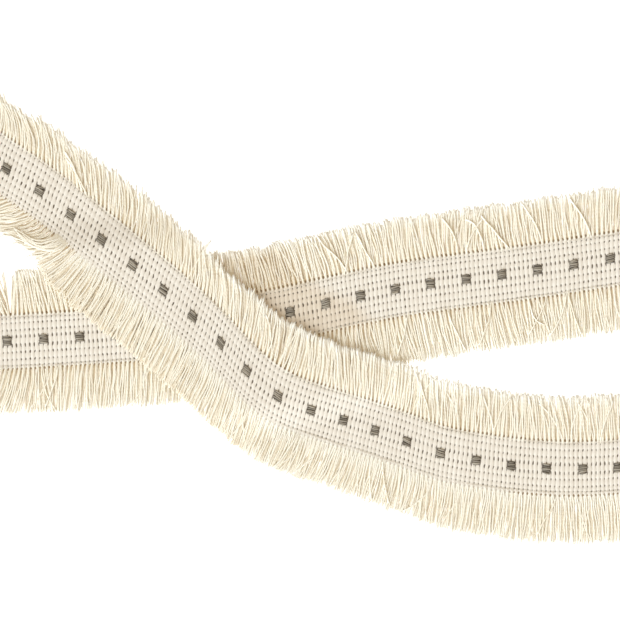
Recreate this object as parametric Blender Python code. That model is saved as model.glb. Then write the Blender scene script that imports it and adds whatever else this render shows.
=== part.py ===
"""A cut length of double-sided brush fringe trim, lying flat in one loop that crosses over itself.

Units are metres and +Z is up. The origin lies on the underside of the lower band, in the middle of the
crossing. The path of the trim is counted in woven dots: it starts at the cut end that lies underneath on
the right, runs to the left, turns round the loop and crosses over itself to the second cut end.
"""
import math
from collections import namedtuple

import bpy
import numpy as np

MM = 0.001

# Sizes of the trim
TAPE_THICK = 0.0016
TAPE_LEFT = 0.0136
TAPE_RIGHT = 0.0128
DOT_HALF_WIDE = 0.0025
DOT_HALF_LONG = 0.0022
DOT_SHOULDER = 0.0005
DOT_PITCH = 0.018
DOT_RISE = 0.0003
STRIP_GAP = 0.00045
STRIP_WIDE = 0.0011
STRIP_THICK = 0.0015
LOCKS_PER_DOT = 2.65
LOCK_PARTING = 0.0006
TIP_PARTING = 0.0008
LOCK_RISE = (0.0015, 0.0014, 0.0013, 0.0009)
UNEVEN_CUT = 0.0007
UNEVEN_WAVES = (2.4, 0.9)
PARTED_MOST = 0.36

# Where the trim lies
FIRST_CUT = -1.1
LAST_CUT = 52.9
LOOP_RADIUS = 0.056
LOOP_DOTS = 16
OVER_FROM = 33.0
CROSS_LIFT = 0.0029
LIFT_FULL = 0.042
LIFT_NONE = 0.060
LIFT_SAMPLES = 400

TAPE_COLOUR = (0.83, 0.77, 0.66)
FRINGE_COLOUR = (0.86, 0.79, 0.64)
CLOTH_ROUGHNESS = 0.9

Place = namedtuple("Place", "dot x_mm y_mm")
LOWER_BAND = (
    Place(0, 149.8, 26.1),
    Place(2, 113.5, 20.5),
    Place(4, 77.9, 15.8),
    Place(6, 42.4, 10.8),
    Place(8, 7.6, 3.5),
    Place(9, -10.2, -0.6),
    Place(15, -115.4, -13.0),
    Place(17, -151.6, -15.1),
)
UPPER_BAND = (
    Place(33, -152.2, 70.8),
    Place(34, -135.6, 59.7),
    Place(35, -120.0, 47.7),
    Place(37, -88.8, 22.6),
    Place(39, -58.8, -2.9),
    Place(40, -45.0, -16.4),
    Place(41, -32.0, -30.2),
    Place(42, -16.5, -42.8),
    Place(43, 0.2, -49.9),
    Place(45, 32.3, -60.2),
    Place(46, 48.2, -65.7),
    Place(47, 65.0, -71.5),
    Place(48, 82.8, -75.2),
    Place(50, 118.0, -79.2),
    Place(51, 136.2, -79.5),
    Place(52, 153.6, -78.6),
)

# Direction of the weft ribs, from the right edge of the path to its left edge
Rib = namedtuple("Rib", "dot turn_deg")
RIBS = (
    Rib(-1, 272),
    Rib(2, 274),
    Rib(9, 275),
    Rib(17, 272),
    Rib(19.7, 273),
    Rib(31.7, 62),
    Rib(33, 71),
    Rib(36, 71),
    Rib(39, 73),
    Rib(42, 75),
    Rib(45, 79),
    Rib(47, 84),
    Rib(49, 87),
    Rib(51, 90),
    Rib(53, 90),
)

# How far the fringe leans away from the ribs in degrees, at its roots and tips, and how long it hangs
Lean = namedtuple("Lean", "dot left_root left_tip left_mm right_root right_tip right_mm")
LEANS = (
    Lean(-1, 3, 4, 22.3, -5, -10, 21.4),
    Lean(3, 2, 8, 22.2, 6, 2, 21.0),
    Lean(4, 1, 5, 22.3, 0, -10, 20.9),
    Lean(6, 3, 8, 22.6, 4, 8, 20.6),
    Lean(8, -3, -12, 22.8, 3, 12, 20.9),
    Lean(12, 0, 0, 22.4, 5, 9, 21.4),
    Lean(16, -4, -2, 22.3, 8, 12, 20.8),
    Lean(17, -9, -24, 22.6, 8, 4, 20.2),
    Lean(20, -4, -8, 22.4, 0, -8, 21.4),
    Lean(25, 0, 4, 22.0, -6, -22, 21.4),
    Lean(29, 3, 15, 21.4, -16, -34, 21.0),
    Lean(33, 8, 42, 20.2, -54, -60, 20.4),
    Lean(34, 11, 34, 21.2, -54, -60, 18.6),
    Lean(35, 16, 29, 21.2, -32, -38, 20.6),
    Lean(36, 10, 24, 20.7, -6, -13, 21.6),
    Lean(40, 8, 19, 20.9, 2, -8, 21.6),
    Lean(42, -2, 7, 22.0, -4, -6, 20.2),
    Lean(44, 6, 14, 22.4, -3, -16, 20.4),
    Lean(46, -2, 6, 22.2, 3, -8, 21.4),
    Lean(49, -1, 1, 21.9, -3, -7, 23.0),
    Lean(51, 0, 9, 21.8, 4, -1, 23.3),
    Lean(53, 0, 4, 21.9, 3, 1, 23.1),
)

# The fringe is parted into short lengths at these dots
SECTION_ENDS = (FIRST_CUT, 5, 11, 17, 20, 23, 26, 29, 32, 38, 44, 49, LAST_CUT)


def clear():
    for ob in list(bpy.data.objects):
        bpy.data.objects.remove(ob, do_unlink=True)


def unit(turn):
    return np.array([math.cos(turn), math.sin(turn)])


def loop_places():
    """Centres of the loop's dots: straight on from each band, and round an arc that meets both."""
    low = [np.array([p.x_mm, p.y_mm]) * MM for p in LOWER_BAND[-2:]]
    top = [np.array([p.x_mm, p.y_mm]) * MM for p in UPPER_BAND[:2]]
    out = (low[1] - low[0]) / np.linalg.norm(low[1] - low[0])
    back = (top[1] - top[0]) / np.linalg.norm(top[1] - top[0])
    out_side = np.array([out[1], -out[0]])
    back_side = np.array([back[1], -back[0]])
    gap = top[0] - low[1] + LOOP_RADIUS * (back_side - out_side)
    run_out, run_back = np.linalg.solve(np.column_stack([out, back]), gap)
    turn = math.acos(float(np.clip(out @ back, -1.0, 1.0)))
    turn = 2.0 * math.pi - turn
    centre = low[1] + out * run_out + out_side * LOOP_RADIUS
    spoke = -out_side
    start = math.atan2(spoke[1], spoke[0])
    whole = run_out + LOOP_RADIUS * turn + run_back
    places = []
    for step in range(1, LOOP_DOTS):
        way = whole * step / LOOP_DOTS
        if way < run_out:
            here = low[1] + out * way
        elif way < run_out + LOOP_RADIUS * turn:
            here = centre + LOOP_RADIUS * unit(start - (way - run_out) / LOOP_RADIUS)
        else:
            here = top[0] - back * (whole - way)
        places.append((LOWER_BAND[-1].dot + step, *here))
    return places


def spline(knots, values):
    """Second derivatives of the natural cubic spline through the values."""
    count = len(knots)
    step = np.diff(knots)
    left = np.eye(count)
    right = np.zeros((count, values.shape[1]))
    for i in range(1, count - 1):
        left[i, i - 1] = step[i - 1]
        left[i, i] = 2.0 * (step[i - 1] + step[i])
        left[i, i + 1] = step[i]
        rise = (values[i + 1] - values[i]) / step[i] - (values[i] - values[i - 1]) / step[i - 1]
        right[i] = 6.0 * rise
    return np.linalg.solve(left, right)


def centre_line():
    """A function from dots along the trim to points on its centre line."""
    rows = [(p.dot, p.x_mm * MM, p.y_mm * MM) for p in LOWER_BAND]
    rows += loop_places()
    rows += [(p.dot, p.x_mm * MM, p.y_mm * MM) for p in UPPER_BAND]
    table = np.array(rows, dtype=float)
    knots, points = table[:, 0], table[:, 1:]
    bend = spline(knots, points)

    def at(dots):
        dots = np.atleast_1d(np.asarray(dots, dtype=float))
        i = np.clip(np.searchsorted(knots, dots) - 1, 0, len(knots) - 2)
        h = (knots[i + 1] - knots[i])[:, None]
        a = (knots[i + 1] - dots)[:, None] / h
        b = (dots - knots[i])[:, None] / h
        cubic = ((a ** 3 - a) * bend[i] + (b ** 3 - b) * bend[i + 1]) * h ** 2 / 6.0
        return a * points[i] + b * points[i + 1] + cubic

    return at


CENTRE = centre_line()
UNDER = CENTRE(np.linspace(FIRST_CUT, LOWER_BAND[-1].dot + 2, LIFT_SAMPLES))


def column(table, name, dots):
    return np.interp(dots, [row.dot for row in table], [getattr(row, name) for row in table])


def rib_turn(dots):
    return np.radians(column(RIBS, "turn_deg", dots))


def lift(points, dots):
    """How high the upper band is carried by the lower one at these points."""
    apart = np.linalg.norm(points[:, None, :] - UNDER[None, :, :], axis=2).min(axis=1)
    share = np.clip((LIFT_NONE - apart) / (LIFT_NONE - LIFT_FULL), 0.0, 1.0)
    return np.where(dots >= OVER_FROM, CROSS_LIFT * share * share * (3.0 - 2.0 * share), 0.0)


def across(dots, side):
    """Points at a distance to the left of the centre line, measured along the ribs."""
    turn = rib_turn(dots)
    return CENTRE(dots) + np.column_stack([np.cos(turn), np.sin(turn)]) * side


def solid(name, points, faces, colour):
    """A closed mesh object with a cloth material of its own."""
    mesh = bpy.data.meshes.new(name)
    mesh.from_pydata([tuple(float(v) for v in p) for p in points], [], faces)
    mesh.validate()
    mesh.update()
    ob = bpy.data.objects.new(name, mesh)
    bpy.context.scene.collection.objects.link(ob)
    mat = bpy.data.materials.new(name + "_cloth")
    mat.use_nodes = True
    shader = mat.node_tree.nodes["Principled BSDF"]
    shader.inputs["Base Color"].default_value = (*colour, 1.0)
    shader.inputs["Roughness"].default_value = CLOTH_ROUGHNESS
    mesh.materials.append(mat)
    return ob


def tape_rings():
    """Dots at which the tape has a ring of points, and how far each ring's woven dot is raised."""
    top = DOT_HALF_LONG / DOT_PITCH
    foot = (DOT_HALF_LONG + DOT_SHOULDER) / DOT_PITCH
    rings = [(FIRST_CUT, 0.0), (LAST_CUT, 0.0)]
    for dot in range(math.ceil(FIRST_CUT), math.floor(LAST_CUT) + 1):
        rings += [(dot - foot, 0.0), (dot - top, DOT_RISE), (dot + top, DOT_RISE), (dot + foot, 0.0)]
        rings.append((dot + 0.5, 0.0))
    return sorted(r for r in rings if FIRST_CUT <= r[0] <= LAST_CUT)


def build_tape():
    rings = tape_rings()
    dots = np.array([r[0] for r in rings])
    rise = np.array([r[1] for r in rings])
    foot = DOT_HALF_WIDE + DOT_SHOULDER
    level = np.full(len(rings), TAPE_THICK)
    ground = np.zeros(len(rings))
    sides = (
        (-TAPE_RIGHT, ground),
        (-TAPE_RIGHT, level),
        (-foot, level),
        (-DOT_HALF_WIDE, level + rise),
        (DOT_HALF_WIDE, level + rise),
        (foot, level),
        (TAPE_LEFT, level),
        (TAPE_LEFT, ground),
    )
    wide = len(sides)
    grid = np.zeros((len(rings), wide, 3))
    for i, (side, height) in enumerate(sides):
        flat = across(dots, side)
        grid[:, i, :2] = flat
        grid[:, i, 2] = height + lift(flat, dots)
    faces = []
    for r in range(len(rings) - 1):
        for i in range(wide):
            k = (i + 1) % wide
            faces.append((r * wide + i, (r + 1) * wide + i, (r + 1) * wide + k, r * wide + k))
    last = (len(rings) - 1) * wide
    faces.append(tuple(range(wide)))
    faces.append(tuple(last + i for i in reversed(range(wide))))
    return solid("tape", grid.reshape(-1, 3), faces, TAPE_COLOUR)


def strand_points(dots, hand, long):
    """Points down the middle of the strands rooted at these dots, one row of points for each step."""
    word = "left" if hand > 0 else "right"
    root = column(LEANS, word + "_root", dots)
    tip = column(LEANS, word + "_tip", dots)
    side = (TAPE_LEFT if hand > 0 else -TAPE_RIGHT) + hand * (STRIP_GAP + STRIP_WIDE)
    here = across(dots, side)
    out = rib_turn(dots) + (0.0 if hand > 0 else math.pi)
    steps = len(LOCK_RISE) - 1
    rows = [here]
    for step in range(steps):
        lean = np.radians(root + (tip - root) * (step + 0.5) / steps)
        turn = out + lean
        here = here + np.column_stack([np.cos(turn), np.sin(turn)]) * (long / steps)[:, None]
        rows.append(here)
    return rows


def build_fringe(name, first, last, hand):
    """A backing strip with the locks that hang from it, for one length of one edge."""
    count = round((last - first) * LOCKS_PER_DOT)
    bounds = np.linspace(first, last, count + 1)
    starts, ends = bounds[:-1], bounds[1:]
    number = np.arange(count) + first * LOCKS_PER_DOT
    word = "left" if hand > 0 else "right"
    long = column(LEANS, word + "_mm", (starts + ends) / 2.0) * MM
    long = long + UNEVEN_CUT * np.sin(number * UNEVEN_WAVES[0]) * np.cos(number * UNEVEN_WAVES[1])
    start_rows = strand_points(starts, hand, long)
    end_rows = strand_points(ends, hand, long)
    inner = (TAPE_LEFT if hand > 0 else -TAPE_RIGHT) + hand * STRIP_GAP
    parting = np.linspace(LOCK_PARTING, TIP_PARTING, len(LOCK_RISE))
    columns = []
    for row, (a, b) in enumerate(zip(start_rows, end_rows)):
        wide = np.linalg.norm(b - a, axis=1)[:, None]
        keep = np.minimum(parting[row] / 2.0 / wide, PARTED_MOST)
        head = a + (b - a) * keep
        tail = b - (b - a) * keep
        columns.append((head, tail))
    share = np.linalg.norm(columns[0][0] - start_rows[0], axis=1) / np.linalg.norm(
        end_rows[0] - start_rows[0], axis=1
    )
    stations = np.column_stack([starts + (ends - starts) * share, ends - (ends - starts) * share])
    stations = stations.reshape(-1)
    edge = across(stations, inner)
    root = across(stations, inner + hand * STRIP_WIDE)
    raise_edge = lift(edge, stations)
    raise_root = lift(root, stations)
    points = []
    for e, r, up_e, up_r in zip(edge, root, raise_edge, raise_root):
        points.append((e[0], e[1], up_e))
        points.append((e[0], e[1], up_e + STRIP_THICK))
        points.append((r[0], r[1], up_r + LOCK_RISE[0]))
        points.append((r[0], r[1], up_r))
    faces = []

    def quad(a, b, c, d):
        faces.append((d, c, b, a) if hand > 0 else (a, b, c, d))

    for j in range(len(stations) - 1):
        a, b = 4 * j, 4 * (j + 1)
        quad(a, a + 1, b + 1, b)
        quad(a + 1, a + 2, b + 2, b + 1)
        quad(a + 3, a, b, b + 3)
        if j % 2:
            quad(a + 2, a + 3, b + 3, b + 2)
    end = 4 * (len(stations) - 1)
    quad(3, 2, 1, 0)
    quad(end, end + 1, end + 2, end + 3)
    for k in range(count):
        a, b = 8 * k, 8 * k + 4
        ring = (a + 3, a + 2, b + 2, b + 3)
        for row in range(1, len(LOCK_RISE)):
            corners = np.array([columns[row][0][k], columns[row][1][k]])
            up = lift(corners, np.array([starts[k], ends[k]]))
            base = len(points)
            points.append((*corners[0], up[0]))
            points.append((*corners[0], up[0] + LOCK_RISE[row]))
            points.append((*corners[1], up[1] + LOCK_RISE[row]))
            points.append((*corners[1], up[1]))
            fresh = (base, base + 1, base + 2, base + 3)
            for i in range(4):
                n = (i + 1) % 4
                quad(ring[i], fresh[i], fresh[n], ring[n])
            ring = fresh
        quad(*reversed(ring))
    return solid(name, points, faces, FRINGE_COLOUR)


def main():
    clear()
    build_tape()
    for hand, word in ((1, "left"), (-1, "right")):
        for i, (first, last) in enumerate(zip(SECTION_ENDS, SECTION_ENDS[1:])):
            build_fringe(f"fringe_{word}_{i + 1:02d}", first, last, hand)


main()
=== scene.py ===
import math
from collections import namedtuple

import bpy
import numpy as np
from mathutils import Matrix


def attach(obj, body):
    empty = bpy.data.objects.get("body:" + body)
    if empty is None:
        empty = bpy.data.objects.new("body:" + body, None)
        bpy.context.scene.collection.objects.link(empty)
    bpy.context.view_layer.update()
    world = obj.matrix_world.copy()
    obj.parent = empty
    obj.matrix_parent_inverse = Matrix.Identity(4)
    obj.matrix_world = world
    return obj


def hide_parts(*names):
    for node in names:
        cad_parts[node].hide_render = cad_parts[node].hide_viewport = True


# The trim's path is counted in woven dots, as in the part's source, with eight ribs of the weave to a dot.
# It starts at the cut end that lies underneath, on the right. Left and right are seen along that path.
# Sizes are in metres unless a name says mm, angles are in degrees where a name says deg.

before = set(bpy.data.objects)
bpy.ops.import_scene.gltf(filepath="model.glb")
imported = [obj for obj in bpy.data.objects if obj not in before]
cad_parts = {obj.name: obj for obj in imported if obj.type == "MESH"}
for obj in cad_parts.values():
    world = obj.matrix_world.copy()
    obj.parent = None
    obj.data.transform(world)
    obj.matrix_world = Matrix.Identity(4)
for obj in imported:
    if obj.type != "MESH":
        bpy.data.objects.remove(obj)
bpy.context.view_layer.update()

MM = 0.001
FULL_TURN = 2.0 * math.pi
RIBS_PER_DOT = 8
RIB_PITCH_MM = 2.27

# Where the trim lies, as in the part's source
FIRST_CUT = -1.1
LAST_CUT = 52.9
LOOP_RADIUS = 0.056
LOOP_DOTS = 16
OVER_FROM = 33.0
CROSS_LIFT = 0.0029
LIFT_FULL = 0.042
LIFT_NONE = 0.060
LIFT_PAST_DOTS = 2.0
LIFT_SAMPLES = 400
TAPE_LEFT = 0.0136
TAPE_RIGHT = 0.0128

Place = namedtuple("Place", "dot x_mm y_mm")
LOWER_BAND = (
    Place(0, 149.8, 26.1),
    Place(2, 113.5, 20.5),
    Place(4, 77.9, 15.8),
    Place(6, 42.4, 10.8),
    Place(8, 7.6, 3.5),
    Place(9, -10.2, -0.6),
    Place(15, -115.4, -13.0),
    Place(17, -151.6, -15.1),
)
UPPER_BAND = (
    Place(33, -152.2, 70.8),
    Place(34, -135.6, 59.7),
    Place(35, -120.0, 47.7),
    Place(37, -88.8, 22.6),
    Place(39, -58.8, -2.9),
    Place(40, -45.0, -16.4),
    Place(41, -32.0, -30.2),
    Place(42, -16.5, -42.8),
    Place(43, 0.2, -49.9),
    Place(45, 32.3, -60.2),
    Place(46, 48.2, -65.7),
    Place(47, 65.0, -71.5),
    Place(48, 82.8, -75.2),
    Place(50, 118.0, -79.2),
    Place(51, 136.2, -79.5),
    Place(52, 153.6, -78.6),
)

Rib = namedtuple("Rib", "dot turn_deg")
RIBS = (
    Rib(-1, 272),
    Rib(2, 274),
    Rib(9, 275),
    Rib(17, 272),
    Rib(19.7, 273),
    Rib(31.7, 62),
    Rib(33, 71),
    Rib(36, 71),
    Rib(39, 73),
    Rib(42, 75),
    Rib(45, 79),
    Rib(47, 84),
    Rib(49, 87),
    Rib(51, 90),
    Rib(53, 90),
)

# How the fringe lies: degrees away from the ribs at root, middle and tip, and the length past the tape
Lie = namedtuple("Lie", "dot root_deg mid_deg tip_deg long_mm")
LEFT_LIES = (
    Lie(-1, 2, 1, 3, 24.0),
    Lie(0, 2, 1, 3, 24.1),
    Lie(1, -1, 5, 2, 24.2),
    Lie(2, 5, 9, 6, 24.0),
    Lie(3, 4, 10, 11, 24.1),
    Lie(4, -1, 2, 8, 24.2),
    Lie(5, 5, 10, 8, 24.3),
    Lie(6, 5, 8, 6, 24.4),
    Lie(7, -2, 10, 4, 24.4),
    Lie(8, -2, -13, -14, 24.6),
    Lie(9, -4, -12, -12, 24.4),
    Lie(12, 0, 0, 0, 24.2),
    Lie(15, -8, -9, -8, 24.2),
    Lie(16, 0, 0, 2, 24.2),
    Lie(17, -9, -28, -26, 24.6),
    Lie(18, -6, -14, -12, 24.4),
    Lie(20, -4, -8, -8, 24.2),
    Lie(25, 0, 2, 4, 24.0),
    Lie(29, 3, 10, 18, 23.6),
    Lie(32, 4, 22, 42, 22.6),
    Lie(33, 6, 32, 52, 20.6),
    Lie(34, 12, 26, 40, 23.0),
    Lie(35, 20, 27, 33, 23.0),
    Lie(36, 9, 17, 28, 22.6),
    Lie(37, 5, 13, 22, 22.6),
    Lie(38, 8, 15, 24, 22.6),
    Lie(39, 6, 18, 24, 22.6),
    Lie(40, 8, 14, 26, 22.8),
    Lie(41, 3, 10, 13, 23.4),
    Lie(42, -6, 1, 10, 23.8),
    Lie(43, 0, 5, 6, 24.0),
    Lie(44, 9, 17, 18, 24.2),
    Lie(45, -3, 6, 12, 24.0),
    Lie(46, -2, 3, 6, 24.0),
    Lie(47, 4, 11, 9, 23.9),
    Lie(48, -2, -1, 2, 23.7),
    Lie(49, -1, 1, 2, 23.7),
    Lie(50, 1, 12, 12, 23.7),
    Lie(51, -1, 5, 9, 23.6),
    Lie(52, -1, 5, 2, 23.7),
    Lie(53, 0, 3, 2, 23.7),
)
RIGHT_LIES = (
    Lie(-1, -5, -9, -12, 23.2),
    Lie(0, -5, -9, -12, 23.2),
    Lie(1, 2, 6, 3, 23.0),
    Lie(2, 3, 2, 3, 22.9),
    Lie(3, 9, 4, 2, 22.8),
    Lie(4, -1, -8, -12, 22.7),
    Lie(5, 7, 6, 3, 22.5),
    Lie(6, 3, 4, 8, 22.4),
    Lie(7, -3, 8, 4, 22.5),
    Lie(8, 3, 18, 14, 22.8),
    Lie(9, 7, 9, 13, 23.2),
    Lie(12, 0, 5, 8, 23.2),
    Lie(15, 4, 8, 10, 23.0),
    Lie(16, 8, 11, 14, 22.6),
    Lie(16.6, 0, 1, 2, 22.4),
    Lie(16.88, -6, -8, -8, 22.2),
    Lie(16.94, 18, 21, 22, 22.4),
    Lie(17.3, 22, 25, 25, 22.4),
    Lie(17.8, 14, 14, 12, 22.4),
    Lie(18.4, 5, 3, 0, 22.8),
    Lie(20, 0, -4, -8, 23.2),
    Lie(25, -6, -14, -22, 23.2),
    Lie(29, -14, -24, -32, 22.8),
    Lie(32, -34, -52, -60, 22.6),
    Lie(33, -50, -68, -70, 22.4),
    Lie(34, -44, -64, -68, 22.0),
    Lie(34.4, -16, -72, -80, 22.6),
    Lie(34.7, -14, -72, -94, 23.4),
    Lie(34.9, -18, -60, -88, 22.0),
    Lie(35.05, -24, -48, -66, 18.0),
    Lie(35.25, -28, -38, -46, 19.0),
    Lie(35.6, -20, -28, -34, 21.5),
    Lie(36, -6, -12, -13, 23.4),
    Lie(37, 0, -10, -12, 23.7),
    Lie(38, -2, -8, -7, 23.8),
    Lie(39, 1, -9, -7, 23.4),
    Lie(40, 2, -9, -7, 23.2),
    Lie(41, 5, -3, -4, 22.6),
    Lie(42, -5, -7, -6, 22.2),
    Lie(43, -2, -8, -18, 22.4),
    Lie(44, -3, -12, -18, 22.6),
    Lie(45, -1, -5, -4, 23.0),
    Lie(46, 4, -4, -10, 23.4),
    Lie(47, 3, -3, -5, 24.2),
    Lie(48, -1, -1, 1, 24.6),
    Lie(49, -3, -6, -8, 24.9),
    Lie(50, 2, -5, -4, 25.1),
    Lie(51, 6, 3, 0, 25.2),
    Lie(52, 10, 6, 0, 25.2),
    Lie(53, 6, 3, 0, 25.0),
)

# Yarns that lie over their neighbours: single ones, and a lock swept aside in the upper band's inner fringe
LEFT_LOOSE = (
    Lie(34.95, 24, 42, 50, 20.0),
    Lie(35.1, 28, 48, 56, 22.0),
    Lie(35.25, 32, 50, 52, 21.0),
    Lie(1.2, 8, 20, 22, 22.0),
    Lie(1.24, -10, -21, -32, 23.6),
    Lie(1.78, -18, -32, -34, 22.0),
    Lie(2.3, 5, 12, 66, 16.4),
    Lie(3.36, -10, -22, -24, 22.4),
    Lie(4.6, 12, 24, 28, 23.6),
    Lie(5.7, -12, -24, -20, 22.0),
    Lie(15.6, -14, -26, -20, 22.4),
    Lie(46.6, 14, 24, 18, 22.0),
    Lie(48.4, -12, -20, -26, 22.0),
    Lie(51.5, -8, -18, -30, 21.0),
)
RIGHT_LOOSE = (
    Lie(0.5, 12, 26, 20, 22.0),
    Lie(2.75, 36, 38, 34, 21.6),
    Lie(3.45, 2, 8, 84, 19.4),
    Lie(3.93, -6, -24, -54, 18.8),
    Lie(4.2, -10, 22, 34, 20.0),
    Lie(6.53, 24, 30, 28, 20.0),
    Lie(7.31, 30, 40, 44, 25.0),
    Lie(7.4, -10, -18, -24, 20.0),
    Lie(42.8, -10, -24, -40, 22.6),
    Lie(45.4, 10, 16, 22, 22.0),
    Lie(50.3, -12, -24, -22, 23.0),
)
SWEPT = Lie(34.82, -24, -84, -112, 24.0)
SWEPT_TO = 35.2
SWEPT_COUNT = 16
LOOSE_RISE = 0.0007

# A warm shadow painted on the lower band, where the upper band shades it. It is full and then fades out at
# these distances from a line near the tips of the upper band's outer fringe, and is weaker on the lower
# band's front fringe.
SHADE_DOTS = (37.5, 43.0)
SHADE_SAMPLES = 60
SHADE_RIM = 0.036
SHADE_FULL = 0.018
SHADE_NONE = 0.027
SHADE_YARN = 0.30
SHADE_FRONT = 0.3
SHADE_TAPE = 0.27

# The rows of warp across the tape, in millimetres to the left of the centre line
Row = namedtuple("Row", "number side_mm")
ROWS = (
    Row(-5.2, -13.8),
    Row(-5, -13.5),
    Row(-4, -11.0),
    Row(-3, -8.7),
    Row(-2, -5.05),
    Row(-1, -1.65),
    Row(1, 2.25),
    Row(2, 6.0),
    Row(3, 9.65),
    Row(4, 12.75),
    Row(5, 14.65),
    Row(5.2, 15.0),
)

DRIFT_VALUES = 4096
DRIFT_OFFSET = 1000.0


def unit(turn):
    return np.array([math.cos(turn), math.sin(turn)])


def ramp(values, low, high):
    """Rises in a straight line from 0 at low to 1 at high. low may be over high."""
    return np.clip((values - low) / (high - low), 0.0, 1.0)


def eased(share):
    """The share with a soft start and end."""
    return share * share * (3.0 - 2.0 * share)


def loop_places():
    """Centres of the loop's dots: straight on from each band, and round an arc that meets both."""
    low = [np.array([p.x_mm, p.y_mm]) * MM for p in LOWER_BAND[-2:]]
    top = [np.array([p.x_mm, p.y_mm]) * MM for p in UPPER_BAND[:2]]
    out = (low[1] - low[0]) / np.linalg.norm(low[1] - low[0])
    back = (top[1] - top[0]) / np.linalg.norm(top[1] - top[0])
    out_side = np.array([out[1], -out[0]])
    back_side = np.array([back[1], -back[0]])
    gap = top[0] - low[1] + LOOP_RADIUS * (back_side - out_side)
    run_out, run_back = np.linalg.solve(np.column_stack([out, back]), gap)
    turn = FULL_TURN - math.acos(float(np.clip(out @ back, -1.0, 1.0)))
    centre = low[1] + out * run_out + out_side * LOOP_RADIUS
    start = math.atan2(-out_side[1], -out_side[0])
    whole = run_out + LOOP_RADIUS * turn + run_back
    places = []
    for step in range(1, LOOP_DOTS):
        way = whole * step / LOOP_DOTS
        if way < run_out:
            here = low[1] + out * way
        elif way < run_out + LOOP_RADIUS * turn:
            here = centre + LOOP_RADIUS * unit(start - (way - run_out) / LOOP_RADIUS)
        else:
            here = top[0] - back * (whole - way)
        places.append((LOWER_BAND[-1].dot + step, *here))
    return places


def spline(knots, values):
    """Second derivatives of the natural cubic spline through the values."""
    count = len(knots)
    step = np.diff(knots)
    left = np.eye(count)
    right = np.zeros((count, values.shape[1]))
    for i in range(1, count - 1):
        left[i, i - 1] = step[i - 1]
        left[i, i] = 2.0 * (step[i - 1] + step[i])
        left[i, i + 1] = step[i]
        rise = (values[i + 1] - values[i]) / step[i] - (values[i] - values[i - 1]) / step[i - 1]
        right[i] = 6.0 * rise
    return np.linalg.solve(left, right)


def centre_line():
    """A function from dots along the trim to points on its centre line."""
    rows = [(p.dot, p.x_mm * MM, p.y_mm * MM) for p in LOWER_BAND]
    rows += loop_places()
    rows += [(p.dot, p.x_mm * MM, p.y_mm * MM) for p in UPPER_BAND]
    table = np.array(rows, dtype=float)
    knots, points = table[:, 0], table[:, 1:]
    bend = spline(knots, points)

    def at(dots):
        i = np.clip(np.searchsorted(knots, dots) - 1, 0, len(knots) - 2)
        h = (knots[i + 1] - knots[i])[..., None]
        a = (knots[i + 1] - dots)[..., None] / h
        b = (dots - knots[i])[..., None] / h
        cubic = ((a ** 3 - a) * bend[i] + (b ** 3 - b) * bend[i + 1]) * h ** 2 / 6.0
        return a * points[i] + b * points[i + 1] + cubic

    return at


CENTRE = centre_line()

# The lower band's centre line, from left to right, and its slope
UNDER = CENTRE(np.linspace(LOWER_BAND[-1].dot + LIFT_PAST_DOTS, FIRST_CUT, LIFT_SAMPLES))
UNDER_SLOPE = np.gradient(UNDER[:, 1], UNDER[:, 0])


def column(table, name, dots):
    return np.interp(dots, [row.dot for row in table], [getattr(row, name) for row in table])


def rib_turn(dots):
    return np.radians(column(RIBS, "turn_deg", dots))


def lift(points, dots):
    """How high the upper band is carried by the lower one at these points."""
    above = np.abs(points[..., 1] - np.interp(points[..., 0], UNDER[:, 0], UNDER[:, 1]))
    slope = np.interp(points[..., 0], UNDER[:, 0], UNDER_SLOPE)
    apart = above / np.sqrt(1.0 + slope * slope)
    return np.where(dots >= OVER_FROM, CROSS_LIFT * eased(ramp(apart, LIFT_NONE, LIFT_FULL)), 0.0)


def across(dots, side):
    """Points at a distance to the left of the centre line, measured along the ribs."""
    turn = rib_turn(dots)
    return CENTRE(dots) + np.stack([np.cos(turn), np.sin(turn)], axis=-1) * np.asarray(side)[..., None]


def crossing_shade(points):
    """How much of the upper band's painted shadow the lower band gets at these points, from 0 to 1."""
    dots = np.linspace(*SHADE_DOTS, SHADE_SAMPLES)
    rim = across(dots, np.full(len(dots), SHADE_RIM))
    gap = np.linalg.norm(points[..., None, :] - rim, axis=-1).min(axis=-1)
    return eased(ramp(gap, SHADE_NONE, SHADE_FULL))


def drift(places, every, seed):
    """Smooth random values around zero that change over about the given distance."""
    table = np.random.default_rng(seed).normal(size=DRIFT_VALUES)
    at = np.asarray(places) / every + DRIFT_OFFSET
    low = np.floor(at).astype(int)
    part = eased(at - low)
    return table[low % DRIFT_VALUES] * (1.0 - part) + table[(low + 1) % DRIFT_VALUES] * part


# Meshes


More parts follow.
